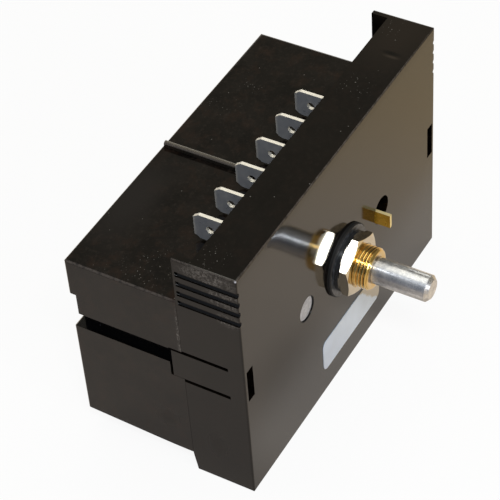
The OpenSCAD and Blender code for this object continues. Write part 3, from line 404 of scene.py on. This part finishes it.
def sheared(name, color, tint, edge, rough):
    """Punched sheet metal: satin faces, and rougher sheared edges on top and at the tip, painted brighter as bare
    metal and as a highlight.
    """
    s = Shader(name, Metallic=0.55)
    # painted highlight and bare metal: edges that face up or forward take the bright edge colour
    lit_cut_edges = s.math("MAXIMUM", s.ramp(s.facing(2), 0.6, 0.8), s.ramp(s.facing(1), -0.7, -0.9))
    blot = s.noise(420.0, 3.0, 0.6)
    face = s.mix(s.ramp(blot, 0.35, 0.7), color, tint)
    tip = s.ramp(s.place(1), TIP_FROM, TIP_FULL, 0.0, 0.6)
    s.color(s.mix(lit_cut_edges, s.mix(tip, face, edge), edge))
    s.rough(s.total(s.ramp(blot, 0.3, 0.7, rough * 0.8, rough * 1.2), s.product(lit_cut_edges, 0.3)))
    s.relief(s.product(s.noise(1.0, 3.0, 0.6, s.mapped((300, 2600, 300))), 0.4e-6))
    return s.mat


def label_foil():
    """Brushed bluish silver, painted lighter towards the far end against its shading, with a painted shadow in
    beige behind a slanting, slightly wavy line at one end.
    """
    s = Shader("label_foil", Metallic=0.25, IOR=1.5)
    low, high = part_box("label")
    along = s.ramp(s.place(0), low.x, high.x)
    cloud = s.ramp(s.noise(130.0, 3.0, 0.55), 0.35, 0.7, 0.0, 0.35)
    # painted light: the silver is lighter towards the far end, against its shading there
    silver = s.mix(cloud, s.mix(along, (0.72, 0.82, 0.98), (0.80, 0.90, 1.0)), (0.55, 0.60, 0.66))
    wave = s.ramp(s.noise(350.0, 2.0, 0.5), 0.3, 0.7, -0.5 * MM, 0.5 * MM)
    slant = s.total(s.place(0), s.product(s.place(2), 0.95), wave)
    # painted shadow: beige behind the slanting line
    s.color(s.mix(s.ramp(slant, -9.7 * MM, -9.1 * MM), silver, (0.59, 0.53, 0.42)))
    s.rough(s.ramp(s.noise(1.0, 3.0, 0.6, s.mapped((1500, 90, 90))), 0.3, 0.7, 0.34, 0.44))
    s.relief(s.product(s.noise(900.0, 2.0, 0.5), 0.8e-6))
    return s.mat


use(front_plastic(), "front_housing")
use(rear_plastic(), "rear_housing")
use(label_foil(), "label")
use(plain("plug_plastic", (0.36, 0.37, 0.40), (0.58, 0.59, 0.63), 0.35, 1600.0), "calibration_plug")
# painted shade: the shaft's underside is coloured darker
use(metal("turned_aluminium", (0.59, 0.61, 0.655), (0.90, 0.905, 0.92), 0.36, (9000, 9000, 9000), 0.0,
          aniso=0.5, spread=(0.4, 1.9), film=1.0, under=(0.24, 0.23, 0.215), blots=800.0),
    "control_shaft")
brass_mat = metal("turned_brass", (0.80, 0.53, 0.14), (0.87, 0.61, 0.20), 0.17, (120, 2500, 120), 0.0002,
                  film=1.0)
use(brass_mat, "threaded_bushing")
use(metal("nickel", (0.70, 0.64, 0.53), (0.78, 0.72, 0.60), 0.12, (300, 300, 300), 0.0002), "hex_nut")
use(plain("black_oxide", (0.012, 0.013, 0.014), (0.024, 0.025, 0.027), 0.22, 500.0), "lock_washer")
use(washer_steel(), "panel_washer")
use(sheared("sheet_brass", (0.62, 0.33, 0.03), (0.72, 0.41, 0.05), (0.95, 0.80, 0.42), 0.26), "mounting_plate")
use(sheared("tinned_brass", (0.43, 0.445, 0.48), (0.53, 0.535, 0.55), (0.98, 0.94, 0.84), 0.33),
    *[f"tab_terminal_{i}" for i in range(1, 7)], "pot_terminals", "transformer_pins")
use(metal("plated_steel", (0.52, 0.52, 0.51), (0.62, 0.62, 0.60), 0.3, (300, 300, 300), 0.0004),
    "pot_can", "retaining_ring", "relay_core", "relay_yoke", "relay_armature")
use(plain("brown_laminate", (0.16, 0.07, 0.03), (0.22, 0.10, 0.045), 0.5), "pot_rotor", "element_wafer")
use(plain("carbon", (0.012, 0.012, 0.012), (0.02, 0.02, 0.02), 0.6), "carbon_track")
use(metal("phosphor_bronze", (0.62, 0.36, 0.18), (0.70, 0.42, 0.22), 0.25, (300, 300, 300), 0.0003),
    "wiper", "moving_contact", "closing_contact", "resting_contact", "relay_spring")
use(plain("solder_mask", (0.02, 0.09, 0.03), (0.03, 0.12, 0.04), 0.32), "circuit_board")
use(plain("trimmer_case", (0.03, 0.08, 0.30), (0.04, 0.10, 0.36), 0.4), "trimmer_body")
use(plain("ivory_plastic", (0.70, 0.66, 0.54), (0.78, 0.74, 0.62), 0.45),
    "trimmer_rotor", "transformer_bobbin", "relay_bobbin")
use(metal("laminations", (0.16, 0.16, 0.17), (0.24, 0.24, 0.25), 0.5, (2600, 40, 40), 0.004), "transformer_core")
use(metal("enamelled_copper", (0.50, 0.18, 0.07), (0.62, 0.25, 0.10), 0.34, (40, 3600, 40), 0.004),
    "primary_winding", "secondary_winding", "relay_coil")
use(plain("black_moulding", (0.015, 0.015, 0.015), (0.025, 0.025, 0.025), 0.5),
    "relay_base", "control_chip", "rectifier_diodes")
use(plain("relay_case", (0.02, 0.06, 0.20), (0.03, 0.08, 0.25), 0.25), "relay_cover")
use(plain("shrink_sleeve", (0.02, 0.025, 0.10), (0.03, 0.035, 0.13), 0.3), "reservoir_capacitor")
use(plain("yellow_case", (0.58, 0.33, 0.03), (0.66, 0.39, 0.04), 0.3), "film_capacitor")
use(plain("tan_lacquer", (0.50, 0.34, 0.16), (0.58, 0.40, 0.20), 0.4), "resistors")
use(plain("blue_lacquer", (0.03, 0.11, 0.34), (0.04, 0.13, 0.40), 0.35), "varistor")


def revolve(name, rows, segments, shape):
    """A closed body of revolution about the shaft axis; rows are (radius, y) in millimetres."""
    bm = bmesh.new()
    rings = []
    for r, y in rows:
        ring = []
        for k in range(segments):
            a = 2 * math.pi * k / segments
            radius = shape(r, y, a)
            ring.append(bm.verts.new(mm(radius * math.cos(a), y, radius * math.sin(a))))
        rings.append(ring)
    for ring, after in zip(rings, rings[1:] + rings[:1]):
        for k in range(segments):
            j = (k + 1) % segments
            bm.faces.new((ring[k], ring[j], after[j], after[k]))
    bmesh.ops.recalc_face_normals(bm, faces=bm.faces)
    mesh = bpy.data.meshes.new(name)
    bm.to_mesh(mesh)
    bm.free()
    for poly in mesh.polygons:
        poly.use_smooth = True
    obj = bpy.data.objects.new(name, mesh)
    scene.collection.objects.link(obj)
    return obj


# Threaded bushing, in millimetres: the thread runs from the tip into the nut, and the rest follows the CAD
MAJOR, MINOR, PITCH = 4.7525, 4.45, 0.794
GROOVE = 0.38  # half the groove's width, as a share of half the pitch
CREST_ROUNDING = 0.075
TIP_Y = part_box("threaded_bushing")[0].y / MM
THREAD_END = -0.2
THREAD_ROWS, THREAD_LENGTH = 150, 7.0
LEAD = 0.5  # the chamfer at the tip is as long as this, and CHAMFER deep
CHAMFER = 0.40
NUT_RADIUS = 4.50
NUT_SPAN = [v.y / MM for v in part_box("hex_nut")]
BORE = 2.80
MOUTH_DEPTH, MOUTH_WIDTH, TIP_RIM, FIRST_ROW = 0.25, 0.22, 0.5, 0.05
NECK_Y, NECK_RADIUS = 2.0, 4.36
COLLAR_Y, COLLAR_RADIUS, BACK_Y = 2.8, 5.79, 3.49
STEP = 0.01  # how far a shoulder leans along Y
SEGMENTS = 128


def helix(r, y, a):
    """The radius of the thread at one place, or the plain radius off the thread."""
    if r < MAJOR - 0.002 or y > THREAD_END:
        return r
    phase = (y / PITCH - a / (2 * math.pi)) % 1.0
    out = abs(2 * phase - 1)
    depth = CREST_ROUNDING * (1 - out) ** 2
    if out < GROOVE:
        depth += (MAJOR - MINOR) * (0.5 + 0.5 * math.cos(math.pi * out / GROOVE))
    lead = min(1.0, max(0.0, (y - TIP_Y) / LEAD))
    radius = min(MAJOR - depth, MAJOR - CHAMFER * (1 - lead))
    inside_nut = NUT_SPAN[0] - 0.02 < y < NUT_SPAN[1] + 0.02
    return min(radius, NUT_RADIUS) if inside_nut else radius


def bushing():
    """The bushing with its thread as a real helix, in place of the CAD's plain cylinder."""
    rows = [(BORE, TIP_Y + MOUTH_DEPTH), (BORE + MOUTH_WIDTH, TIP_Y), (MAJOR - TIP_RIM, TIP_Y)]
    rows += [(MAJOR, TIP_Y + FIRST_ROW + i * THREAD_LENGTH / THREAD_ROWS) for i in range(THREAD_ROWS + 1)]
    rows += [(MAJOR, NECK_Y - STEP), (NECK_RADIUS, NECK_Y), (NECK_RADIUS, COLLAR_Y),
             (COLLAR_RADIUS, COLLAR_Y + STEP), (COLLAR_RADIUS, BACK_Y), (BORE, BACK_Y)]
    piece = revolve("bushing_thread", rows, SEGMENTS, helix)
    piece.data.materials.append(brass_mat)
    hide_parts("threaded_bushing")
    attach(piece, "case")


bushing()


def stage_material():
    """Pale floor: white to the camera, and lit paper, warmer further out and darker to the left, to all other
    rays, with a painted shadow under the shaft and a painted glow near the front foot.
    """
    s = Shader("stage_white")
    s.tree.nodes.remove(s.bsdf)
    diffuse = s.add("ShaderNodeBsdfDiffuse")
    glow = s.add("ShaderNodeEmission")
    path = s.add("ShaderNodeLightPath").outputs
    s.link(s.mix(path["Is Camera Ray"], (1.0, 0.95, 0.90), (1.0, 1.0, 1.0)), glow.inputs["Color"])
    distance = s.add("ShaderNodeVectorMath", operation="LENGTH")
    s.link(s.coord, distance.inputs[0])
    far = s.ramp(distance.outputs["Value"], 35 * MM, 100 * MM, smooth=True)
    front = s.mix(far, (0.76, 0.65, 0.55), (0.86, 0.65, 0.38))
    left = s.ramp(s.place(0), -50 * MM, -25 * MM, smooth=True)
    paper = s.mix(left, (0.54, 0.47, 0.42), front)
    # painted shadow: the paper is darker under the shaft
    under = s.blob((-9, -10, -31), (24, 12, 9), 1.0)
    paper = s.mix(s.product(under, 0.5), paper, (0.30, 0.25, 0.21))
    s.link(s.mix(path["Is Camera Ray"], paper, (0.9, 0.9, 0.9)), diffuse.inputs["Color"])
    mirrored = s.math("MAXIMUM", path["Is Glossy Ray"], path["Is Transmission Ray"])
    # painted light: near the front foot the paper glows more to mirrored rays
    foot_glow = s.product(s.ramp(s.place(1), -15 * MM, -4 * MM, smooth=True), left)
    seen = s.product(path["Is Camera Ray"], 0.92)
    share = s.total(seen, s.product(mirrored, s.total(0.12, s.product(foot_glow, 0.31))))
    s.mix_shaders(share, diffuse, glow, s.tree.nodes["Material Output"])
    return s.mat


def make_floor():
    """A square of paper just under the object."""
    half, gap = 3.0, 0.05 * MM
    z = cad_box[0][2] - gap
    mesh = bpy.data.meshes.new("floor")
    mesh.from_pydata([(-half, -half, z), (half, -half, z), (half, half, z), (-half, half, z)], [], [(0, 1, 2, 3)])
    obj = bpy.data.objects.new("floor", mesh)
    scene.collection.objects.link(obj)
    mesh.materials.append(stage_material())


def make_world():
    """White to the camera, and dim room light, cool on the left and warm on the right, to everything else."""
    world = bpy.data.worlds.new("studio")
    scene.world = world
    world.use_nodes = True
    world.node_tree.nodes.clear()
    w = Tree(world.node_tree)
    room = w.add("ShaderNodeBackground")
    white = w.add("ShaderNodeBackground")
    white.inputs["Color"].default_value = (1, 1, 1, 1)
    across = w.ramp(w.axis(w.add("ShaderNodeTexCoord").outputs["Generated"], 0), -0.9, 0.7)
    w.link(w.mix(across, (0.13, 0.15, 0.19), (0.15, 0.13, 0.09)), room.inputs["Color"])
    path = w.add("ShaderNodeLightPath").outputs
    mirrored = w.math("MAXIMUM", path["Is Glossy Ray"], path["Is Transmission Ray"])
    share = w.total(w.product(mirrored, 0.07), path["Is Camera Ray"])
    w.mix_shaders(share, room, white, w.add("ShaderNodeOutputWorld"))


LAMP_DISTANCE = 0.8


def soft_box(name, towards, size, radiance, color):
    """A lamp seen from the object in one direction: its size across and along Y, and its brightness."""
    data = bpy.data.lights.new(name, "AREA")
    data.shape = "RECTANGLE"
    data.size, data.size_y = size
    data.energy = radiance * math.pi * size[0] * size[1]
    data.color = color
    obj = bpy.data.objects.new(name, data)
    back = Vector(towards).normalized()
    across = Vector((0, 1, 0)).cross(back).normalized()
    turn = Matrix((across, back.cross(across), back)).transposed().to_4x4()
    turn.translation = back * LAMP_DISTANCE
    obj.matrix_world = turn
    obj.visible_camera = False
    scene.collection.objects.link(obj)


make_floor()
make_world()
scene.view_settings.view_transform = "Standard"
soft_box("key", (-0.463, -0.345, 0.817), (0.08, 0.24), 45.0, (0.93, 0.97, 1.0))
soft_box("overhead", (0.14, 0.095, 0.91), (0.72, 0.54), 1.95, (1.0, 0.97, 0.86))
soft_box("side", (0.83, 0.39, 0.38), (0.28, 0.44), 1.7, (1.0, 0.98, 0.90))
soft_box("front", (-0.30, -0.85, 0.42), (0.30, 0.30), 6.0, (1.0, 1.0, 1.0))

# The camera, fitted to the housing's edges in the photograph: its place, and two of its directions
CAMERA_PLACE = Vector((-0.25994, -0.14372, 0.29344))
CAMERA_AHEAD = Vector((0.6022, 0.3885, -0.6975))
CAMERA_RIGHT = Vector((0.4928, -0.8682, -0.0580))
CAMERA_LENS = 140.84


def make_camera():
    data = bpy.data.cameras.new("camera")
    data.sensor_fit = "HORIZONTAL"
    data.sensor_width = 36.0
    data.lens = CAMERA_LENS
    data.clip_start = 0.01
    data.clip_end = 20.0
    obj = bpy.data.objects.new("camera", data)
    ahead = CAMERA_AHEAD.normalized()
    up = CAMERA_RIGHT.cross(ahead).normalized()
    right = ahead.cross(up)
    turn = Matrix((right, up, -ahead)).transposed().to_4x4()
    turn.translation = CAMERA_PLACE
    obj.matrix_world = turn
    scene.collection.objects.link(obj)
    scene.camera = obj


make_camera()
